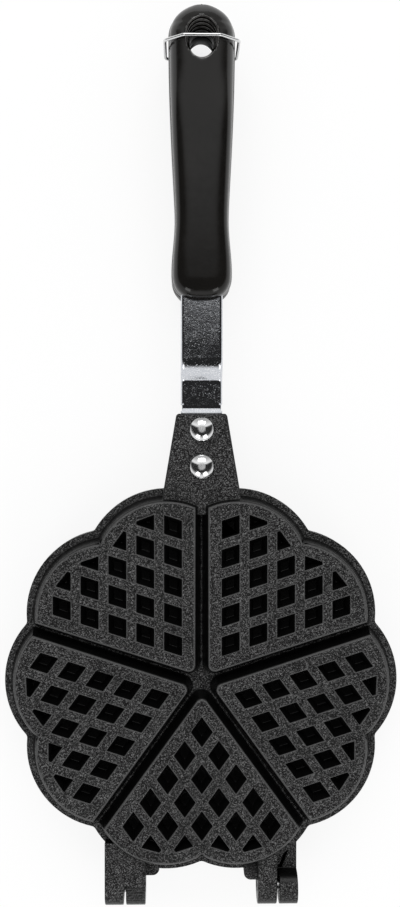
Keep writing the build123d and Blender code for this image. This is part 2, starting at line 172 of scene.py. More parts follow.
class Shading:
    # a node tree with short calls for adding nodes and joining them
    def __init__(self, tree):
        self.tree = tree

    def add(self, kind, settings=(), **inputs):
        node = self.tree.nodes.new(kind)
        for key, value in dict(settings).items():
            setattr(node, key, value)
        for key, value in inputs.items():
            self.set(node, key.replace("_", " "), value)
        return node

    def set(self, node, key, value):
        # a socket goes by its name, or by its place as i0, i1 and so on where names repeat
        socket = node.inputs[int(key[1:])] if key[0] == "i" and key[1:].isdigit() else node.inputs[key]
        if isinstance(value, bpy.types.NodeSocket):
            self.tree.links.new(value, socket)
        else:
            socket.default_value = value

    def maths(self, operation, *values):
        node = self.add("ShaderNodeMath", {"operation": operation})
        for index, value in enumerate(values):
            self.set(node, f"i{index}", value)
        return node.outputs[0]

    def blend(self, share, first, second, mode="MIX"):
        node = self.add("ShaderNodeMix", {"data_type": "RGBA", "blend_type": mode})
        for index, value in ((0, share), (6, first), (7, second)):
            self.set(node, f"i{index}", value)
        return node.outputs[2]

    def spread(self, value, low, high, newLow=0.0, newHigh=1.0):
        node = self.add("ShaderNodeMapRange", {"interpolation_type": "SMOOTHSTEP"}, Value=value,
                        From_Min=low, From_Max=high, To_Min=newLow, To_Max=newHigh)
        return node.outputs["Result"]

    def noise(self, vector, scale, detail=2.0, roughness=0.5, distortion=0.0):
        node = self.add("ShaderNodeTexNoise", Vector=vector, Scale=scale, Detail=detail, Roughness=roughness,
                        Distortion=distortion)
        return node.outputs["Fac"]


def grey(level, warmth=0.0):
    return (level * (1 + warmth), level, level * (1 - warmth), 1)


def newGroup(name, inputs, outputs):
    # a shared node group, ready to be filled in, with its inputs' sockets and its output node
    tree = bpy.data.node_groups.new(name, "ShaderNodeTree")
    for label, kind, default in inputs:
        socket = tree.interface.new_socket(label, in_out="INPUT", socket_type=kind)
        if default is not None:
            socket.default_value = default
    for label in outputs:
        tree.interface.new_socket(label, in_out="OUTPUT", socket_type="NodeSocketFloat")
    shading = Shading(tree)
    return shading, shading.add("NodeGroupInput").outputs, shading.add("NodeGroupOutput")


def newMaterial(name, **constants):
    material = bpy.data.materials.new(name)
    material.use_nodes = True
    shading = Shading(material.node_tree)
    principled = material.node_tree.nodes["Principled BSDF"]
    for key, value in constants.items():
        principled.inputs[key.replace("_", " ")].default_value = value
    coordinates = shading.add("ShaderNodeTexCoord").outputs["Object"]
    return material, shading, principled, coordinates


def useGroup(shading, tree, **inputs):
    return shading.add("ShaderNodeGroup", {"node_tree": tree}, **inputs).outputs


def bumpFrom(shading, height, strength, distance):
    bump = shading.add("ShaderNodeBump", Height=height, Strength=strength, Distance=distance * mm)
    return bump.outputs["Normal"]


# grains: cells of random tone, their size in metres; height is each cell's dome, 1 - distance, times (tone + 0.3)
shading, given, result = newGroup("grains", [("Vector", "NodeSocketVector", None),
                                            ("Size", "NodeSocketFloat", 0.0005)], ["Tone", "Height"])
cells = shading.add("ShaderNodeTexVoronoi", Vector=given["Vector"],
                    Scale=shading.maths("DIVIDE", 1.0, given["Size"]))
tone = shading.add("ShaderNodeSeparateColor", Color=cells.outputs["Color"]).outputs["Red"]
shading.set(result, "Tone", tone)
dome = shading.maths("SUBTRACT", 1.0, cells.outputs["Distance"])
shading.set(result, "Height", shading.maths("MULTIPLY", dome, shading.maths("ADD", tone, 0.3)))
grains = shading.tree

# scratches: the edges of cells drawn out along one direction, kept only where a broad noise is high
shading, given, result = newGroup("scratches", [("Vector", "NodeSocketVector", None),
                                               ("Size", "NodeSocketFloat", 0.01),
                                               ("Amount", "NodeSocketFloat", 0.5)], ["Mask"])
bent = shading.add("ShaderNodeMapping", Vector=given["Vector"], Rotation=(0.3, 0.2, 0.7), Scale=(1, 5, 1))
edges = shading.add("ShaderNodeTexVoronoi", {"feature": "DISTANCE_TO_EDGE"}, Vector=bent.outputs["Vector"],
                    Scale=shading.maths("DIVIDE", 1.0, given["Size"]))
line = shading.spread(edges.outputs["Distance"], 0.0, 0.025, 1.0, 0.0)
patch = shading.noise(given["Vector"], shading.maths("DIVIDE", 0.6, given["Size"]), 3.0)
kept = shading.spread(patch, shading.maths("SUBTRACT", 1.0, given["Amount"]), 0.9)
shading.set(result, "Mask", shading.maths("MULTIPLY", line, kept))
scratches = shading.tree
print("shared node groups made")

# plates: cast aluminium with a grained black coating on the flats, smooth on walls and in the pits; the walls' and
# pits' floors' near-black tone is partly the smooth coating and partly painted shade
coating = {"grainSize": 0.34, "grainPower": 2.9, "grainBump": 0.7, "grainHeight": 0.09, "toneLow": 0.002,
           "toneHigh": 0.20, "wallToneAndShade": 0.0022, "wearAndHighlightTone": 0.10, "edgeRounding": 0.32, "edgeWearAndHighlight": 0.55,
           "flatRoughness": 0.62, "wallRoughness": 0.3, "specular": 0.22, "ridgeSpacing": 1.15,
           "ridgeHeight": 0.12, "ridgePlace": (-33.2, -24.4), "barrelReach": 8.0, "plateReach": 84,
           "pitFloor": 5.5, "padFace": 11.5}

coatingMaterial, shading, principled, coordinates = newMaterial("castCoating", Metallic=0.0,
                                                                Specular_IOR_Level=coating["specular"])
# flatness with painted shade: 0 on walls and pits' floors, which are painted near-black as shade
flat = shading.add("ShaderNodeAttribute", {"attribute_name": "flatnessAndShade"}).outputs["Fac"]
grain = useGroup(shading, grains, Vector=coordinates, Size=coating["grainSize"] * mm)
finer = useGroup(shading, grains, Vector=coordinates, Size=coating["grainSize"] * 0.55 * mm)
speck = shading.maths("POWER", shading.maths("ADD", shading.maths("MULTIPLY", grain["Tone"], 0.7),
                                            shading.maths("MULTIPLY", finer["Tone"], 0.3)),
                      coating["grainPower"])
cloud = shading.noise(coordinates, 38.0, 3.0)
level = shading.maths("MULTIPLY", shading.spread(speck, 0.0, 1.0, coating["toneLow"], coating["toneHigh"]),
                      shading.spread(cloud, 0.25, 0.75, 0.85, 1.15))
flatTone = shading.add("ShaderNodeCombineColor", Red=level, Green=level, Blue=level).outputs["Color"]
# near-black tone of walls and pits' floors: partly the smooth coating, partly painted shade
wallToneAndShade = shading.blend(shading.noise(coordinates, 220.0), grey(coating["wallToneAndShade"] * 0.7),
                         grey(coating["wallToneAndShade"] * 1.5))
# painted highlight: the pads' rounded edges turn pale, partly as wear
worn = shading.add("ShaderNodeAttribute", {"attribute_name": "edgeWearAndHighlight"}).outputs["Fac"]
ridgedAndShaded = shading.add("ShaderNodeAttribute", {"attribute_name": "ridgedAndShaded"}).outputs["Fac"]
along = shading.add("ShaderNodeSeparateXYZ", Vector=coordinates).outputs["Y"]
# ridges: raised crests on the lower hinge barrel, their pale tone a painted highlight
ridgeAndHighlight = shading.maths("SINE", shading.maths("MULTIPLY", along, 2 * np.pi / (coating["ridgeSpacing"] * mm)))
ridgeAndHighlight = shading.maths("MULTIPLY", shading.spread(ridgeAndHighlight, -0.4, 0.9), ridgedAndShaded)
# painted shade: the lower half's hinge barrel is darkened towards the walls' near-black tone
body = shading.blend(shading.maths("MULTIPLY", ridgedAndShaded, 0.55), shading.blend(flat, wallToneAndShade, flatTone), wallToneAndShade)
# pale: the pads' rounded edges, partly wear and partly painted highlight, and the ridges' crests, a painted
# highlight
pale = shading.maths("MAXIMUM", worn, shading.maths("MULTIPLY", ridgeAndHighlight, 0.22))
shading.set(principled, "Base Color", shading.blend(pale, body, grey(coating["wearAndHighlightTone"])))
rough = shading.spread(flat, 0.0, 1.0, coating["wallRoughness"], coating["flatRoughness"])
shading.set(principled, "Roughness", shading.maths("ADD", rough, shading.spread(cloud, 0.2, 0.8, -0.04, 0.04)))
height = shading.maths("ADD", grain["Height"], shading.maths("MULTIPLY", finer["Height"], 0.4))
height = shading.maths("MULTIPLY", height, shading.maths("ADD", shading.maths("MULTIPLY", flat, 0.92), 0.08))
raised = shading.maths("MULTIPLY", ridgeAndHighlight, coating["ridgeHeight"] / coating["grainHeight"])
height = shading.maths("ADD", height, raised)
shading.set(principled, "Normal", bumpFrom(shading, height, coating["grainBump"], coating["grainHeight"]))

for half in ("lower", "upper"):
    plate = copyNode(f"{half}_plate", f"{half}PlateCoated", half, "cast_coating")
    softenEdges(plate, coating["edgeRounding"])
    mesh = plate.data
    # flatness and painted shade at each face corner: 1 where the normal is upright, 0 on the walls and on the
    # pits' floors, which take the near-black tone as painted shade
    corners = np.empty(len(mesh.loops) * 3, np.float32)
    mesh.corner_normals.foreach_get("vector", corners)
    owners = np.empty(len(mesh.loops), np.int32)
    mesh.loops.foreach_get("vertex_index", owners)
    places = np.empty(len(mesh.vertices) * 3, np.float32)
    mesh.vertices.foreach_get("co", places)
    places = places.reshape(-1, 3)[owners] / mm
    turn = 1 if half == "upper" else -1
    lean = np.abs(corners.reshape(-1, 3)[:, 2])
    rise = turn * (places[:, 2] - iron["partingHeight"])
    inHearts = np.hypot(places[:, 0], places[:, 1] - iron["platePlace"]) < coating["plateReach"]
    # painted shade: the pits' floors are flat but take the walls' near-black tone
    shadedPitFloors = inHearts & (np.abs(rise - coating["pitFloor"]) < 0.6)
    flatnessAndShade = np.clip((lean - 0.74) / 0.18, 0, 1) * np.where(shadedPitFloors, 0.0, 1.0)
    # wear and painted highlight: the rounded edges at the level of the pads' faces are painted pale, partly wear
    # and partly painted highlight; ridges: a hinge lug's barrel on the lower half, its crests painted pale as
    # highlight and the barrel darkened as painted shade
    facing = np.empty(len(mesh.polygons) * 3, np.float32)
    mesh.polygons.foreach_get("normal", facing)
    sides = np.empty(len(mesh.polygons), np.int32)
    mesh.polygons.foreach_get("loop_total", sides)
    faceLean = np.repeat(np.abs(facing.reshape(-1, 3)[:, 2]), sides)
    wearAndHighlight = inHearts & (rise > coating["padFace"] - 0.45) & (faceLean > 0.55) & (faceLean < 0.97)
    fromHinge = np.abs(places[:, 1] - iron["platePlace"] - iron["hingePlace"])
    barrel = ((half == "lower") & (fromHinge < coating["barrelReach"])
              & (places[:, 0] > coating["ridgePlace"][0]) & (places[:, 0] < coating["ridgePlace"][1]))
    shares = {"flatnessAndShade": flatnessAndShade, "edgeWearAndHighlight": wearAndHighlight * coating["edgeWearAndHighlight"], "ridgedAndShaded": barrel * 1.0}
    for name, values in shares.items():
        attribute = mesh.attributes.new(name, "FLOAT", "CORNER")
        attribute.data.foreach_set("value", values.astype(np.float32))
    mesh.materials.append(coatingMaterial)
    print(half, "plate made,", len(mesh.polygons), "faces")

# brackets: pressed strip, chromed, with fine pits and scratches in the plating
bracketChrome = {"edgeRounding": 0.2, "roughness": 0.06, "ripple": 0.13, "scratchSize": 2.2, "speckle": 0.40,
                 "dullSpeck": 0.34, "dullTone": (0.62, 0.64, 0.68, 1), "brightTone": (0.88, 0.885, 0.90, 1)}
chromeMaterial, shading, principled, coordinates = newMaterial("bracketChrome", Metallic=1.0)
speckle = useGroup(shading, grains, Vector=coordinates, Size=bracketChrome["speckle"] * mm)
blotch = shading.noise(coordinates, 1300.0, 2.0, 0.6)
scratch = useGroup(shading, scratches, Vector=coordinates, Size=bracketChrome["scratchSize"] * mm,
                   Amount=0.62)["Mask"]
bright = shading.maths("MULTIPLY", shading.spread(blotch, 0.35, 0.75), speckle["Tone"])
plating = shading.blend(bright, bracketChrome["dullTone"], bracketChrome["brightTone"])
shading.set(principled, "Base Color", plating)
patch = shading.spread(shading.noise(coordinates, 160.0, 2.0), 0.35, 0.65, 0.1, 0.8)
worn = shading.maths("MULTIPLY", shading.spread(speckle["Tone"], 0.86, 0.97), patch)
matt = shading.maths("MULTIPLY", shading.maths("MAXIMUM", worn, scratch), bracketChrome["dullSpeck"])
shading.set(principled, "Roughness", shading.maths("ADD", bracketChrome["roughness"], matt))
height = shading.maths("SUBTRACT", shading.maths("MULTIPLY", speckle["Height"], 0.7),
                       shading.maths("MULTIPLY", scratch, 0.9))
height = shading.maths("ADD", shading.maths("MULTIPLY", blotch, 0.7), height)
shading.set(principled, "Normal", bumpFrom(shading, height, bracketChrome["ripple"], 0.12))


def bracketRows(settings):
    # a folded section carried along the handle: half width, top level and the lips' level vary with the place
    crankStart, crankEnd = settings["crankStart"], settings["crankStart"] + settings["crankSpan"]
    fineStart, fineEnd = settings["closeStations"]
    place = np.unique(np.concatenate([
        np.linspace(settings["start"], fineStart, 8), np.linspace(fineStart, fineEnd, 25),
        np.linspace(fineEnd, crankStart, 10), np.linspace(crankStart, crankEnd, 64),
        np.linspace(crankEnd, settings["shoulder"], 12),
        settings["end"] - settings["endRounding"] * np.cos(np.linspace(0, np.pi / 2, 9))]))
    # each step in width falls between two stations 0.15 to either side of it
    steps = (settings["reliefStart"], settings["reliefEnd"], settings["shoulder"])
    place = place[np.min(np.abs(place[:, None] - np.array(steps)), axis=1) > 0.3]
    place = np.sort(np.concatenate([place] + [[edge - 0.15, edge + 0.15] for edge in steps]))
    # slope of the crank: eased in over the lower bend, out over the wider upper bend, then summed along it
    along = np.linspace(crankStart, crankStart + 14, 1401)
    run = along - crankStart
    easedOut = np.clip((settings["crankRun"] - run) / settings["upperBend"], 0, 1)
    slope = np.clip(run / settings["lowerBend"], 0, 1) * easedOut
    climb = np.cumsum(slope) / slope.sum()
    top = settings["lowTop"] + np.interp(place, along, climb) * (settings["highTop"] - settings["lowTop"])
    top += settings["roll"] * np.interp(place, settings["rollPlaces"], [0, 1, -1.2, 0])
    tang = place > settings["shoulder"]
    relief = (place > settings["reliefStart"]) & (place < settings["reliefEnd"])
    folded = (place > settings["reliefEnd"]) & ~tang
    half = np.where(relief, settings["halfWidth"] - settings["reliefDepth"], settings["halfWidth"])
    half = np.where(tang, settings["tangHalfWidth"], half)
    toEnd = np.clip((settings["end"] - place) / settings["endRounding"], 0, 1)
    half = half - np.where(tang, settings["endRounding"] * (1 - np.sqrt(1 - (1 - toEnd) ** 2)), 0)
    under = top - settings["sheet"]
    lip = np.where(folded, settings["lip"], under)
    inner = np.where(folded, half - settings["sheet"], half - 0.5)
    half, top, under, lip, inner = (values[:, None] for values in (half, top, under, lip, inner))
    bend = np.where(folded[:, None], settings["bendRadius"], 0.3)
    turn = np.linspace(0, np.pi / 2, 9)[None, :]
    x = np.concatenate([inner, half, half - bend + bend * np.cos(turn), half - bend - 0.2], axis=1)
    z = np.concatenate([lip, lip, top - bend + bend * np.sin(turn), top], axis=1)
    x = np.concatenate([x, -x[:, ::-1], -inner + 0.3, inner - 0.3], axis=1)
    z = np.concatenate([z, z[:, ::-1], under, under], axis=1)
    return np.stack([x, place[:, None] + 0 * x, z], axis=-1)


strip = {"start": 86.0, "end": 203.0, "endRounding": 3.0, "halfWidth": 9.0, "sheet": 1.5, "lowTop": 4.0,
         "highTop": 9.65, "lip": 0.4, "bendRadius": 1.5, "reliefDepth": 0.5, "reliefStart": 117.1,
         "reliefEnd": 119.7, "crankStart": 129.2, "crankRun": 10.4, "crankSpan": 10.5, "lowerBend": 1.5,
         "upperBend": 5.2, "roll": 0.22, "rollPlaces": (115.6, 115.9, 118.2, 118.9),
         "closeStations": (114.0, 120.0), "shoulder": 168.0, "tangHalfWidth": 6.0, "rivets": (92.9, 109.0),
         "screw": 189.0}
for half in ("lower", "upper"):
    mesh = gridMesh(f"{half}BracketStrip", placeHalf(bracketRows(strip), half))
    bracket = newPiece(f"{half}BracketStrip", mesh, half, "bracket_chrome", f"{half}_bracket")
    holes = [latheRows([2.5, 2.5], [0, 6]) + [0, place, 0] for place in strip["rivets"]]
    holes.append(latheRows([2.0, 2.0], [6, 12]) + [0, strip["screw"], 0])
    cutAway(bracket, *[gridMesh("cutter", placeHalf(rows, half)) for rows in holes])
    softenEdges(bracket, bracketChrome["edgeRounding"], 38, 2, False)
    bracket.data.materials.append(chromeMaterial)
print("brackets made")

# grips: glossy moulded phenolic, a smooth loft with a dished hanging hole
grip = {"front": 164.4, "length": 127.1, "outer": 17.5, "inner": 0.3, "frontPower": 2.6, "bulgeHalfWidth": 13.1,
        "bulgePlace": 11.7, "waistHalfWidth": 11.7, "waistPlace": 34.2, "tipRadius": 14.4, "tipReach": 13.36,
        "tipPower": 2.25, "domeLength": 14.2, "frontRise": 1.8, "noseTop": 10.8, "noseRun": 8.5,
        "outerRounding": 0.72, "innerRounding": 0.22, "sideBulge": 0.04, "crownPower": 2.9, "fullUntil": 237.0,
        "noseRadius": 26.1, "latchPlace": 274.0, "pivotHeight": -8.9, "boreRadius": 0.95, "bore": (9.8, 16.0),
        "edgeRounding": 0.35, "holePlace": 275.3, "holeRadius": 5.2, "landTop": 3.0, "dishHalfWidth": 7.3,
        "dishHalfLength": 10.0, "dishOffset": 1.2, "ledges": 6, "slopeRise": 0.3, "slotHalfWidth": 6.1,
        "slotUnder": 8.05, "slotTop": 9.75, "slotStart": 170.0, "slotEnd": 203.1, "screwPlace": 189.0,
        "headHoleRadius": 3.7, "seat": 3.9, "shankHoleRadius": 2.2, "shankHoleEnd": 16.6, "tone": 0.006,
        "ledgeHighlightTone": 0.3, "roughness": 0.10, "specular": 0.3}


def gripStations(settings):
    # half width along the grip: a full nose (1 - (1 - s)^p)^(1/p) to the bulge, a half cosine to the waist,
    # a sine to the dome; each returned with its place and the section's lowest and highest levels
    middle = (settings["inner"] + settings["outer"]) / 2
    domeStart = settings["front"] + settings["length"] - settings["domeLength"]
    sweep = np.linspace(0.03, np.pi / 2, 26)
    power = settings["frontPower"]
    front = (settings["front"] + settings["bulgePlace"] * (1 - np.cos(sweep)),
             settings["bulgeHalfWidth"] * (1 - np.cos(sweep) ** power) ** (1 / power), 1 - np.sin(sweep))
    share = np.linspace(0, 1, 16)[1:]
    waist = (settings["front"] + settings["bulgePlace"]
             + share * (settings["waistPlace"] - settings["bulgePlace"]),
             settings["bulgeHalfWidth"] + (1 - np.cos(np.pi * share)) / 2
             * (settings["waistHalfWidth"] - settings["bulgeHalfWidth"]), 0 * share)
    share = np.linspace(0, 1, 34)[1:]
    waistY = settings["front"] + settings["waistPlace"]
    eased = share + 0.06 * (np.exp(-share / 0.06) - 1)
    eased /= eased[-1]
    back = (waistY + share * (domeStart - waistY), settings["waistHalfWidth"] + np.sin(np.pi / 2 * eased)
            * (settings["tipRadius"] - settings["waistHalfWidth"]), 0 * share)
    place, halfWidth, drawnIn = (np.concatenate(parts) for parts in zip(front, waist, back))
    low = settings["inner"] + drawnIn * settings["frontRise"]
    back = 1 - np.clip((place - settings["front"]) / settings["noseRun"], 0, 1)
    high = settings["noseTop"] + (settings["outer"] - settings["noseTop"]) * (1 - back ** 2.2) ** (1 / 2.2)
    # dome: a quarter turn, half width tip (1 - sin^p)^(1/p), its outer side held under the latch wire's swing
    turn = np.radians(np.linspace(0, 90, 26)[1:])
    domePlace = domeStart + settings["tipReach"] * np.sin(turn)
    closing = np.sqrt(1 - np.sin(turn) ** 4)
    past = np.maximum(domePlace - settings["latchPlace"], 0)
    nose = settings["pivotHeight"] + np.sqrt(settings["noseRadius"] ** 2 - past ** 2)
    ease = np.clip(np.degrees(turn) / 18, 0, 1)
    nose = settings["outer"] + ease * (nose - settings["outer"])
    power = settings["tipPower"]
    domeHalfWidth = settings["tipRadius"] * (1 - np.sin(turn) ** power) ** (1 / power)
    return (np.concatenate([place, domePlace]), np.concatenate([halfWidth, domeHalfWidth]),
            np.concatenate([low, middle - closing * (middle - settings["inner"])]),
            np.concatenate([high, middle + closing * (nose - middle)]))


def gripRows(settings):
    # each section: flat underside, small corner, side bulged by 1 - (2s - 1)^2, wide crown corner with powers of
    # cos and sin, flat top, then its mirror image
    place, halfWidth, low, high = (values[:, None] for values in gripStations(settings))
    outer = np.minimum(halfWidth * settings["outerRounding"], (high - low) * 0.75)
    inner = np.minimum(halfWidth * settings["innerRounding"], (high - low) * 0.225)
    edge = halfWidth * (1 - settings["sideBulge"])
    line = np.linspace(0, 1, 6)[None, :-1]
    corner = np.linspace(0, np.pi / 2, 8)[None, :-1]
    side = np.linspace(0, 1, 10)[None, :-1]
    crown = np.linspace(0, np.pi / 2, 20)[None, :-1]
    # the crown's corner is fuller along the hold and near round where the latch wire passes
    past = np.clip((place - settings["fullUntil"]) / 25.0, 0, 1)
    full = 2 / (settings["crownPower"] + past * past * (3 - 2 * past) * (2.1 - settings["crownPower"]))
    x = np.concatenate([line * (edge - inner), edge - inner + inner * np.sin(corner),
                        edge + (halfWidth - edge) * (1 - (2 * side - 1) ** 2),
                        edge - outer + outer * np.cos(crown) ** full, (1 - line) * (edge - outer)], axis=1)
    z = np.concatenate([low + 0 * line, low + inner - inner * np.cos(corner),
                        low + inner + side * (high - outer - low - inner),
                        high - outer + outer * np.sin(crown) ** full, high + 0 * line], axis=1)
    x = np.concatenate([x, 0 * halfWidth, -x[:, :0:-1]], axis=1)
    z = np.concatenate([z, high, z[:, :0:-1]], axis=1)
    return np.stack([x, place + 0 * x, z], axis=-1)


def holeRows(settings):
    # a round land, then ledges: each a steep wall with a slope at its head, growing in oval to the dish's mouth
    step = np.arange(settings["ledges"])
    rise = (settings["outer"] + 0.1 - settings["landTop"]) / settings["ledges"]
    foot = settings["landTop"] + step * rise
    height = np.stack([foot, foot + rise - settings["slopeRise"], foot + rise], axis=-1).ravel()
    share = (step[:, None] + np.array([0, 0.3, 0.75])).ravel() / settings["ledges"]
    height = np.concatenate([[-1.0], height, [settings["outer"] + 0.1, settings["outer"] + 2.0]])
    share = np.concatenate([[0], share, [1.0, 1.03]])[:, None]
    angle = np.linspace(0, 2 * np.pi, 72, endpoint=False)[None, :]
    halfWidth = settings["holeRadius"] + share * (settings["dishHalfWidth"] - settings["holeRadius"])
    halfLength = settings["holeRadius"] + share * (settings["dishHalfLength"] - settings["holeRadius"])
    return np.stack([halfWidth * np.cos(angle),
                     settings["holePlace"] - share * settings["dishOffset"] + halfLength * np.sin(angle),
                     height[:, None] + 0 * angle], axis=-1)


def blockRows(x, y, low, high):
    # a box: its four corners at the low height, then at the high one
    corners = np.array([[x[0], y[0]], [x[1], y[0]], [x[1], y[1]], [x[0], y[1]]])
    return np.stack([np.c_[corners, np.full(4, low)], np.c_[corners, np.full(4, high)]])


gripMaterial, shading, principled, coordinates = newMaterial("gripPhenolic", Metallic=0.0,
                                                             Specular_IOR_Level=grip["specular"])
flow = shading.noise(coordinates, 60.0, 4.0, 0.55, 0.4)
handled = shading.noise(coordinates, 420.0, 3.0, 0.6)
scratch = useGroup(shading, scratches, Vector=coordinates, Size=7.0 * mm, Amount=0.5)["Mask"]
ledgeHighlight = shading.add("ShaderNodeAttribute", {"attribute_name": "ledgeHighlight"}).outputs["Fac"]
body = shading.blend(flow, grey(grip["tone"] * 0.7, 0.06), grey(grip["tone"] * 1.5, 0.10))
# painted highlight: the dish's step slopes are painted pale grey, varied by a noise
ledgeHighlightShare = shading.maths("MULTIPLY", ledgeHighlight, shading.spread(handled, 0.3, 0.6, 0.3, 1.0))
shading.set(principled, "Base Color", shading.blend(ledgeHighlightShare, body, grey(grip["ledgeHighlightTone"], 0.02)))
rough = shading.spread(handled, 0.3, 0.75, grip["roughness"], grip["roughness"] + 0.09)
shading.set(principled, "Roughness", shading.maths("ADD", rough, shading.maths("MULTIPLY", scratch, 0.15)))
height = shading.maths("SUBTRACT", flow, shading.maths("MULTIPLY", scratch, 0.03))
shading.set(principled, "Normal", bumpFrom(shading, height, 0.25, 0.25))

for half in ("lower", "upper"):
    mesh = gridMesh(f"{half}GripMoulded", placeHalf(gripRows(grip), half))
    piece = newPiece(f"{half}GripMoulded", mesh, half, "grip_phenolic", f"{half}_grip")
    slot = blockRows((-grip["slotHalfWidth"], grip["slotHalfWidth"]), (grip["slotStart"], grip["slotEnd"]),
                     grip["slotUnder"], grip["slotTop"])
    cutters = [holeRows(grip), slot]
    for part in ("head", "shank"):
        radius, end = grip[part + "HoleRadius"], grip["seat"] if part == "head" else grip["shankHoleEnd"]
        cutters.append(latheRows([radius, radius], [-1.0, end]) + [0, grip["screwPlace"], 0])
    if half == "lower":
        for hand in (-1, 1):
            bore = latheRows([grip["boreRadius"]] * 2, grip["bore"], 32)[..., [2, 1, 0]] * [hand, 1, 1]
            cutters.append(bore + [0, grip["latchPlace"], -grip["pivotHeight"]])
    cutAway(piece, *[gridMesh("cutter", placeHalf(rows, half)) for rows in cutters])
    softenEdges(piece, grip["edgeRounding"], 56)
    # the slopes at the heads of the dish's steps are painted pale: a painted highlight standing for the dish's
    # reflections
    facing = np.empty(len(piece.data.polygons) * 3, np.float32)
    middles = np.empty_like(facing)
    piece.data.polygons.foreach_get("normal", facing)
    piece.data.polygons.foreach_get("center", middles)
    facing, middles = np.abs(facing.reshape(-1, 3)), middles.reshape(-1, 3) / mm
    across = middles[:, 0] / grip["dishHalfWidth"]
    dishPlace = iron["platePlace"] + grip["holePlace"] - grip["dishOffset"]
    along = (middles[:, 1] - dishPlace) / grip["dishHalfLength"]
    inDish = ((np.hypot(across, along) < 1.03)
              & (np.abs(middles[:, 2] - iron["partingHeight"]) > grip["landTop"] + 1.0)
              & (facing[:, 2] > 0.3) & (facing[:, 2] < 0.85))
    ledgeHighlightFaces = piece.data.attributes.new("ledgeHighlight", "FLOAT", "FACE")
    ledgeHighlightFaces.data.foreach_set("value", inDish.astype(np.float32))
    piece.data.materials.append(gripMaterial)
print("grips made")

# bright metals' tones: rivets, latch wire, hinge pins and grip screws
polished = {"rivetTone": 0.80, "wireTone": 0.78, "pinTone": 0.55, "screwTone": 0.6}


def metalMaterial(name, tone, roughness, grainSize, bumpStrength):
    # tone and roughness clouded by a fine noise, with scratches that are rougher and lie a little lower
    material, shading, principled, coordinates = newMaterial(name, Metallic=1.0)
    cloud = shading.noise(coordinates, 700.0, 3.0, 0.6)
    marks = useGroup(shading, scratches, Vector=coordinates, Size=grainSize * mm, Amount=0.6)["Mask"]
    shading.set(principled, "Base Color", shading.blend(cloud, grey(tone * 0.9, -0.01), grey(tone, 0.0)))
    shading.set(principled, "Roughness", shading.maths("ADD", shading.spread(
        cloud, 0.3, 0.7, roughness, roughness + 0.08), shading.maths("MULTIPLY", marks, 0.12)))
    height = shading.maths("SUBTRACT", cloud, marks)
    shading.set(principled, "Normal", bumpFrom(shading, height, bumpStrength, 0.03))
    return material


rivet = {"tail": 4.2, "tailLow": 0.9, "tailRounding": (0.15, 0.5), "under": 2.5, "shank": 2.5, "top": 8.5,
         "head": 5.2, "rim": 0.6, "dome": 2.2, "struck": 1.9, "struckDepth": 0.12, "struckRoughness": 0.42,
         "edgeRounding": 0.25, "places": {"front": 92.9, "rear": 109.0}}
rivetMaterial = metalMaterial("rivetMetal", polished["rivetTone"], 0.09, 2.0, 0.25)
shading = Shading(rivetMaterial.node_tree)
principled = rivetMaterial.node_tree.nodes["Principled BSDF"]
middle = shading.add("ShaderNodeAttribute", {"attribute_name": "struck"}).outputs["Fac"]
smooth = principled.inputs["Roughness"].links[0].from_socket
shading.set(principled, "Roughness", shading.maths("ADD", smooth, shading.maths(
    "MULTIPLY", middle, rivet["struckRoughness"])))
ballRadius = (rivet["head"] ** 2 + rivet["dome"] ** 2) / (2 * rivet["dome"])
opening = np.arcsin(rivet["head"] / ballRadius)
# profile: tail with rounded rim, shank, upright rim, then a cap of the ball, struck in by depth (1 - r^2)^2
cap = np.linspace(opening, 0, 28)
hollow = rivet["struckDepth"] * np.clip(1 - (ballRadius * np.sin(cap) / rivet["struck"]) ** 2, 0, 1) ** 2
near, far = rivet["tailRounding"]
tail, tailLow = rivet["tail"], rivet["tailLow"]
radii = np.concatenate([[0, tail - far, tail - near, tail, tail, rivet["shank"], rivet["shank"], rivet["head"]],
                        ballRadius * np.sin(cap)])
crown = rivet["top"] + rivet["rim"] + rivet["dome"]
heights = np.concatenate([[tailLow, tailLow, tailLow + near, tailLow + far, rivet["under"], rivet["under"],
                           rivet["top"], rivet["top"]], crown - ballRadius + ballRadius * np.cos(cap) - hollow])
for half in ("lower", "upper"):
    for position, place in rivet["places"].items():
        rows = latheRows(radii, heights) + [0, place, 0]
        mesh = gridMesh("rivet", placeHalf(rows, half))
        piece = newPiece(f"{half}{position.capitalize()}RivetHead", mesh, half, "rivet_metal",
                         f"{half}_{position}_rivet")
        softenEdges(piece, rivet["edgeRounding"], 36)
        # how far each point lies inside the struck middle
        points = np.empty(len(piece.data.vertices) * 3, np.float32)
        piece.data.vertices.foreach_get("co", points)
        points = points.reshape(-1, 3) / mm
        outward = np.hypot(points[:, 0], points[:, 1] - iron["platePlace"] - place)
        middle = piece.data.attributes.new("struck", "FLOAT", "POINT")
        middle.data.foreach_set("value", np.clip((rivet["struck"] - outward) / 0.7, 0, 1).astype(np.float32))
        piece.data.materials.append(rivetMaterial)
print("rivets made")

# latch wire: a ring of round wire, open at the pivots
latch = {"place": 274.0, "pivot": -8.9, "top": 18.4, "halfWidth": 15.8, "slopeWidth": 8.0, "slopeHeight": 6.1,
         "end": 9.9, "bend": 2.4, "radius": 0.68}


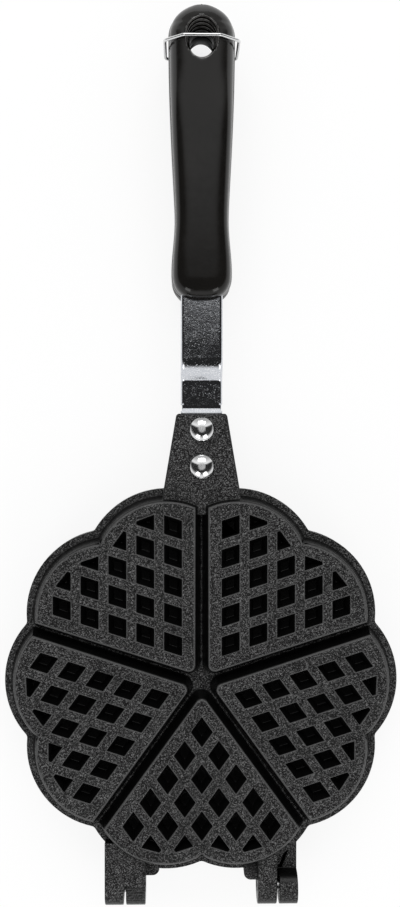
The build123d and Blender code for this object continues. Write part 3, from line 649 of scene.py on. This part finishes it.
def roundedPath(corners, radius, spacing=0.35):
    # straight runs joined by arcs: each corner gives way to the arc that touches both of its runs
    points = [corners[:1]]
    for before, corner, after in zip(corners[:-2], corners[1:-1], corners[2:]):
        arriving = (corner - before) / np.linalg.norm(corner - before)
        leaving = (after - corner) / np.linalg.norm(after - corner)
        turn = np.arccos(np.clip(arriving @ leaving, -1, 1))
        start = corner - arriving * radius * np.tan(turn / 2)
        inward = leaving - arriving * (arriving @ leaving)
        inward /= np.linalg.norm(inward)
        angle = np.linspace(0, turn, max(int(radius * turn / spacing), 3) + 1)[:, None]
        points.append(start + radius * (np.sin(angle) * arriving + (1 - np.cos(angle)) * inward))
    return np.concatenate(points + [corners[-1:]])


halfRing = np.array([[latch["end"], latch["pivot"]], [latch["halfWidth"], latch["pivot"]],
                     [latch["halfWidth"], latch["top"] - latch["slopeHeight"]],
                     [latch["halfWidth"] - latch["slopeWidth"], latch["top"]]])
ring = roundedPath(np.concatenate([halfRing, halfRing[::-1] * [-1, 1]]), latch["bend"])
path = np.stack([ring[:, 0], np.full(len(ring), latch["place"]), ring[:, 1]], axis=-1)
# the ends are rounded over: two more rings drawn in towards each end's middle
lead = (path[1] - path[0]) / np.linalg.norm(path[1] - path[0])
path = np.concatenate([[path[0], path[0] + 0.12 * lead, path[0] + 0.4 * lead], path[1:-1],
                       [path[-1] + 0.4 * lead, path[-1] + 0.12 * lead, path[-1]]])
path[-3:, 0] = -path[:3, 0][::-1]
radius = np.full(len(path), latch["radius"])
radius[[0, -1]] *= 0.5
radius[[1, -2]] *= 0.85
wire = newPiece("latchWireRing", gridMesh("latchWireRing", placeHalf(
    tubeRows(path, np.array([0.0, 1.0, 0.0]), radius), "upper")), "latch", "wire_chrome", "latch_wire")
wire.data.shade_smooth()
wire.data.materials.append(metalMaterial("wireChrome", polished["wireTone"], 0.10, 1.2, 0.3))
print("latch wire made")

# hinge pins and grip screws: turned from steel, the pins as long as the CAD's own
pin = {"radius": 2.4, "chamfer": 0.4, "edgeRounding": 0.1}
pinMaterial = metalMaterial("pinSteel", polished["pinTone"], 0.28, 1.0, 0.35)
screw = {"place": 189.0, "shank": 2.0, "seat": 3.9, "end": 16.4, "pointWidth": 0.5, "pointLength": 0.8,
         "head": 3.5, "headHeight": 2.2, "chamfer": 0.55, "slotWidth": 0.9, "slotDepth": 1.0,
         "edgeRounding": 0.1}
screwMaterial = metalMaterial("screwSteel", polished["screwTone"], 0.25, 1.0, 0.35)
for half in ("lower", "upper"):
    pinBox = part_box(f"{half}_hinge_pin")
    near, far = sorted([abs(pinBox[0][0]) / mm, abs(pinBox[1][0]) / mm])
    hand = np.sign(pinBox[0][0])
    neck, chamfer = pin["radius"] - pin["chamfer"], pin["chamfer"]
    profile = latheRows([0, neck, pin["radius"], pin["radius"], neck, 0],
                        [near, near, near + chamfer, far - chamfer, far, far], 48)
    # turned on its side: the profile's height runs along x
    rows = np.stack([hand * profile[..., 2], profile[..., 0] + iron["hingePlace"] + iron["platePlace"],
                     profile[..., 1] + iron["partingHeight"]], axis=-1) * mm
    piece = newPiece(f"{half}HingePinTurned", gridMesh("pin", rows), half, "pin_steel", f"{half}_hinge_pin")
    softenEdges(piece, pin["edgeRounding"], 30)
    piece.data.materials.append(pinMaterial)
    headLow = screw["seat"] - screw["headHeight"]
    profile = latheRows([0, screw["head"] - screw["chamfer"], screw["head"], screw["head"], screw["shank"],
                         screw["shank"], screw["shank"] - screw["pointWidth"], 0],
                        [headLow, headLow, headLow + screw["chamfer"], screw["seat"], screw["seat"],
                         screw["end"] - screw["pointLength"], screw["end"], screw["end"]], 48)
    mesh = gridMesh("screw", placeHalf(profile + [0, screw["place"], 0], half))
    piece = newPiece(f"{half}GripScrewSlotted", mesh, half, "screw_steel", f"{half}_grip_screw")
    cutAway(piece, gridMesh("cutter", placeHalf(blockRows(
        (-5, 5), (screw["place"] - screw["slotWidth"] / 2, screw["place"] + screw["slotWidth"] / 2),
        headLow - 1, headLow + screw["slotDepth"]), half)))
    softenEdges(piece, screw["edgeRounding"], 35)
    piece.data.materials.append(screwMaterial)
print("pins and screws made")

# floor, world and lamps
studio = {"room": 0.75, "floorReach": 4, "floorLift": 0.85, "dark": 0.022, "wall": 1.0, "wallLow": 0.5,
          "wallStart": 0.11, "wallFull": 0.28, "horizon": 0.92, "frontPlace": (0.43, -0.85, 0.62),
          "frontSize": 0.45, "frontLamp": 1.8, "backPlace": (0.0, 1.0, 0.9), "backSize": (1.1, 0.5),
          "backLamp": 6.0}
reach, level = studio["floorReach"], cadBounds[0][2]
floorMesh = bpy.data.meshes.new("studioFloor")
floorMesh.from_pydata([(-reach, -reach, level), (reach, -reach, level), (reach, reach, level),
                       (-reach, reach, level)], [], [(0, 1, 2, 3)])
floor = bpy.data.objects.new("studioFloor", floorMesh)
scene.collection.objects.link(floor)
floorMaterial = bpy.data.materials.new("studioFloor")
floorMaterial.use_nodes = True
shading = Shading(floorMaterial.node_tree)
floorMaterial.node_tree.nodes.remove(floorMaterial.node_tree.nodes["Principled BSDF"])
paint = shading.add("ShaderNodeBsdfDiffuse", Color=(0.93, 0.93, 0.93, 1))
glow = shading.add("ShaderNodeEmission", Color=(1, 1, 1, 1), Strength=1.0)
cameraRay = shading.add("ShaderNodeLightPath").outputs["Is Camera Ray"]
seen = shading.maths("MULTIPLY", cameraRay, studio["floorLift"])
mixed = shading.add("ShaderNodeMixShader", Fac=seen, i1=paint.outputs[0], i2=glow.outputs[0])
shading.set(floorMaterial.node_tree.nodes["Material Output"], "Surface", mixed.outputs[0])
floorMesh.materials.append(floorMaterial)

world = bpy.data.worlds.new("studio")
scene.world = world
world.use_nodes = True
shading = Shading(world.node_tree)
direction = shading.add("ShaderNodeSeparateXYZ", Vector=shading.add("ShaderNodeTexCoord").outputs["Generated"])
# what gloss reflects: dark overhead, a pale wall behind where y - 0.3 x^2 is high, dimmer far back, and a pale
# horizon where z + 0.45 y is low, so higher in front
x, y, z = (direction.outputs[axis] for axis in "XYZ")
bowed = shading.maths("MULTIPLY", shading.maths("MULTIPLY", x, x), 0.3)
wall = shading.spread(shading.maths("SUBTRACT", y, bowed), studio["wallStart"], studio["wallFull"],
                      studio["dark"], studio["wall"])
wall = shading.maths("MULTIPLY", wall, shading.spread(y, 0.45, 0.85, 1.0, studio["wallLow"]))
leant = shading.maths("ADD", z, shading.maths("MULTIPLY", y, 0.45))
horizon = shading.spread(leant, -0.03, 0.36, studio["horizon"], 0.0)
seenInGloss = shading.maths("MAXIMUM", wall, horizon)
seenInGloss = shading.add("ShaderNodeCombineColor", Red=seenInGloss, Green=seenInGloss, Blue=seenInGloss)
path = shading.add("ShaderNodeLightPath").outputs
lit = shading.blend(path["Is Glossy Ray"], grey(studio["room"]), seenInGloss.outputs["Color"])
plain = shading.maths("MAXIMUM", path["Is Camera Ray"], path["Is Transmission Ray"])
backdrop = shading.blend(plain, lit, (1, 1, 1, 1))
shading.set(world.node_tree.nodes["Background"], "Color", backdrop)


def addLamp(name, place, target, size, power):
    # a level lamp at a place, its face turned towards the target
    lampData = bpy.data.lights.new(name, "AREA")
    lampData.shape = "RECTANGLE"
    lampData.size, lampData.size_y = size
    lampData.energy = power
    lamp = bpy.data.objects.new(name, lampData)
    scene.collection.objects.link(lamp)
    lamp.location = place
    aim = np.array(place) - np.array(target)
    sideways = np.cross((0, 0, 1), aim)
    sideways /= np.linalg.norm(sideways)
    aim /= np.linalg.norm(aim)
    lamp.matrix_world = Matrix.Translation(place) @ Matrix(np.stack(
        [sideways, np.cross(aim, sideways), aim], axis=1).tolist()).to_4x4()


across, back, high = studio["frontPlace"]
for hand, side in ((-1, "Left"), (1, "Right")):
    addLamp("front" + side, (hand * across, back, high), (0, -0.02, 0.02), (studio["frontSize"],) * 2,
            studio["frontLamp"])
addLamp("back", studio["backPlace"], (0, 0.02, 0.02), studio["backSize"], studio["backLamp"])
print("studio made")

# camera: above the iron, as near to it as in the photograph
cameraSettings = {"place": (-0.00828, 0.0070, 0.456), "tilt": (-0.0104, -0.0175, -0.0001),
                  "focalPixels": 999.53, "imageHeight": 907, "sensorHeight": 36.0}
cameraData = bpy.data.cameras.new("camera")
camera = bpy.data.objects.new("camera", cameraData)
scene.collection.objects.link(camera)
scene.camera = camera
cameraData.sensor_fit = "VERTICAL"
cameraData.sensor_height = cameraSettings["sensorHeight"]
cameraData.lens = cameraSettings["sensorHeight"] * cameraSettings["focalPixels"] / cameraSettings["imageHeight"]
turned = Matrix.Identity(3)
for angle, axis in zip(cameraSettings["tilt"], "XYZ"):
    turned = turned @ Matrix.Rotation(angle, 3, axis)
camera.location = cameraSettings["place"]
camera.rotation_euler = turned.to_euler("XYZ")
scene.view_settings.view_transform = "Standard"
